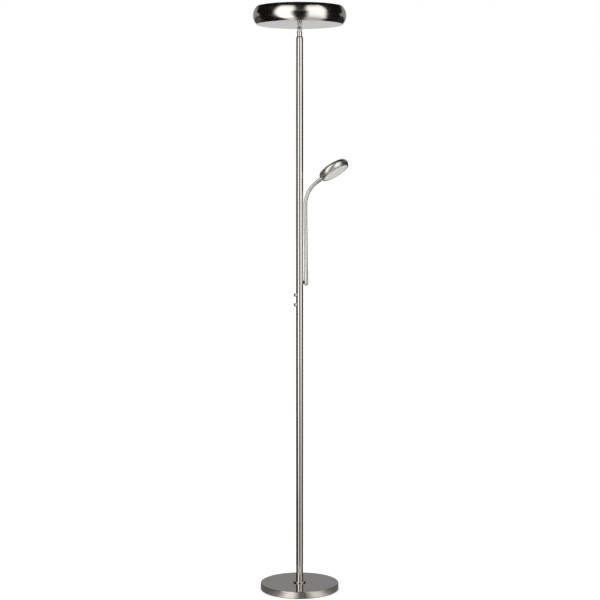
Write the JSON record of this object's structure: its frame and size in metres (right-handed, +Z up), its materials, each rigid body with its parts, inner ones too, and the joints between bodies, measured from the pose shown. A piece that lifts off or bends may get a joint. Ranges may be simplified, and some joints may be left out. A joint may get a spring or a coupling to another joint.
{
  "type": "floor lamp",
  "caption": "Torchiere floor lamp: round foot, slim pole, tilting dish head that lights upwards, and a small reading light on a flexible arm, each with its own dimmer knob.",
  "frame": {"origin": "centre of the foot's underside, on the floor", "axes": "+Z up along the pole; the reading light is on the +X side; the front, where the knobs can be seen, is -Y"},
  "size_m": [0.2955, 0.289, 1.8],
  "materials": {
    "satin_nickel": "satin nickel plate, brushed",
    "zinc_steel": "zinc plated steel",
    "cast_weight": "black varnished casting",
    "soft_pad": "black foam rubber",
    "lead_sheath": "white sheath",
    "heat_spreader": "mill finish",
    "white_plastic": "white, matt",
    "circuit_board": "white solder mask",
    "dimmer_plastic": "black, matt",
    "light_source": "phosphor under clear resin",
    "opal": "opal, satin"
  },
  "bodies": {
    "root": {"base_pad": "soft_pad", "base_weight": "cast_weight", "base_cover": "satin_nickel", "base_collar": "satin_nickel", "base_nipple": "zinc_steel", "base_washer": "zinc_steel", "base_nut": "zinc_steel", "pole_foot_insert": "zinc_steel", "lead_grommet": "soft_pad", "mains_lead": "lead_sheath", "head_lead": "lead_sheath", "pole_section_1": "satin_nickel", "pole_section_2": "satin_nickel", "pole_section_3": "satin_nickel", "pole_section_4": "satin_nickel", "pole_couplers": "zinc_steel", "dimmer_bodies": "dimmer_plastic", "dimmer_board": "circuit_board", "neck": "satin_nickel", "neck_fork": "satin_nickel", "tilt_bolt": "zinc_steel", "tilt_nut": "zinc_steel", "tilt_washers": "zinc_steel", "arm_spacer": "satin_nickel", "arm_bolt": "zinc_steel", "arm_nut": "zinc_steel", "arm_sleeve": "satin_nickel"},
    "head": {"head_tongue": "satin_nickel", "head_shell": "satin_nickel", "head_stiffener": "zinc_steel", "head_nut": "zinc_steel", "plate_posts": "zinc_steel", "plate_screws": "zinc_steel", "led_plate": "heat_spreader", "led_board": "circuit_board", "led_chips": "light_source", "led_driver": "white_plastic", "head_ring": "white_plastic", "head_diffuser": "opal"},
    "upper_knob": {"dimmer_knob_upper": "satin_nickel", "dimmer_shaft_upper": "zinc_steel"},
    "lower_knob": {"dimmer_knob_lower": "satin_nickel", "dimmer_shaft_lower": "zinc_steel"},
    "arm_01": {"arm_link_01": "satin_nickel"},
    "arm_02": {"arm_link_02": "satin_nickel"},
    "arm_03": {"arm_link_03": "satin_nickel"},
    "arm_04": {"arm_link_04": "satin_nickel"},
    "arm_05": {"arm_link_05": "satin_nickel"},
    "arm_06": {"arm_link_06": "satin_nickel"},
    "arm_07": {"arm_link_07": "satin_nickel"},
    "arm_08": {"arm_link_08": "satin_nickel"},
    "arm_09": {"arm_link_09": "satin_nickel"},
    "arm_10": {"arm_link_10": "satin_nickel"},
    "reading_light": {"reading_ferrule": "satin_nickel", "reading_screw": "zinc_steel", "reading_shell": "satin_nickel", "reading_bezel": "satin_nickel", "reading_diffuser": "opal", "reading_plate": "heat_spreader", "reading_board": "circuit_board"}
  },
  "joints": [
    {"name": "head_tilt", "type": "hinge", "parent": "root", "child": "head", "pos_m": [0, 0, 1.7334], "axis": [0, 1, 0], "range_deg": [-45, 45]},
    {"name": "upper_dimmer_turn", "type": "hinge", "parent": "root", "child": "upper_knob", "pos_m": [0, 0, 0.909], "axis": [-0.9063, -0.4226, 0], "range_deg": [0, 300]},
    {"name": "lower_dimmer_turn", "type": "hinge", "parent": "root", "child": "lower_knob", "pos_m": [0, 0, 0.879], "axis": [-0.9063, -0.4226, 0], "range_deg": [0, 300]},
    {"name": "arm_lower_bend", "type": "hinge", "parent": "root", "child": "arm_01", "pos_m": [0.0199, 0, 0.993], "axis": [0, 1, 0], "range_deg": [0, 12]},
    {"name": "arm_sway", "type": "hinge", "parent": "arm_01", "child": "arm_02", "pos_m": [0.01954, 0, 1.025], "axis": [0.9999, 0, 0.0113], "range_deg": [-16, 16]},
    {"name": "arm_lower_bend_03", "type": "hinge", "parent": "arm_02", "child": "arm_03", "pos_m": [0.01917, 0, 1.057], "axis": [0, 1, 0], "range_deg": [0, 12]},
    {"name": "arm_lower_bend_04", "type": "hinge", "parent": "arm_03", "child": "arm_04", "pos_m": [0.01881, 0, 1.08899], "axis": [0, 1, 0], "range_deg": [0, 12]},
    {"name": "arm_sway_05", "type": "hinge", "parent": "arm_04", "child": "arm_05", "pos_m": [0.01845, 0, 1.12099], "axis": [0.9999, 0, 0.0113], "range_deg": [-16, 16]},
    {"name": "arm_lower_bend_06", "type": "hinge", "parent": "arm_05", "child": "arm_06", "pos_m": [0.01809, 0, 1.15299], "axis": [0, 1, 0], "range_deg": [0, 12]},
    {"name": "arm_upper_bend", "type": "hinge", "parent": "arm_06", "child": "arm_07", "pos_m": [0.01772, 0, 1.18499], "axis": [0, 1, 0], "range_deg": [-3, 14]},
    {"name": "arm_upper_bend_08", "type": "hinge", "parent": "arm_07", "child": "arm_08", "pos_m": [0.01982, 0, 1.20534], "axis": [0, 1, 0], "range_deg": [-3, 14]},
    {"name": "arm_sway_09", "type": "hinge", "parent": "arm_08", "child": "arm_09", "pos_m": [0.02645, 0, 1.22469], "axis": [0.9029, 0, -0.4297], "range_deg": [-16, 16]},
    {"name": "arm_upper_bend_10", "type": "hinge", "parent": "arm_09", "child": "arm_10", "pos_m": [0.03728, 0, 1.24204], "axis": [0, 1, 0], "range_deg": [-3, 14]},
    {"name": "arm_upper_bend_11", "type": "hinge", "parent": "arm_10", "child": "reading_light", "pos_m": [0.05176, 0, 1.25649], "axis": [0, 1, 0], "range_deg": [-3, 14]}
  ],
  "couplings": [
    {"joint": "arm_lower_bend_03", "follows": "arm_lower_bend", "ratio": 1},
    {"joint": "arm_lower_bend_04", "follows": "arm_lower_bend", "ratio": 1},
    {"joint": "arm_sway_05", "follows": "arm_sway", "ratio": 1},
    {"joint": "arm_lower_bend_06", "follows": "arm_lower_bend", "ratio": 1},
    {"joint": "arm_upper_bend_08", "follows": "arm_upper_bend", "ratio": 1},
    {"joint": "arm_sway_09", "follows": "arm_sway", "ratio": 1},
    {"joint": "arm_upper_bend_10", "follows": "arm_upper_bend", "ratio": 1},
    {"joint": "arm_upper_bend_11", "follows": "arm_upper_bend", "ratio": 1}
  ]
}
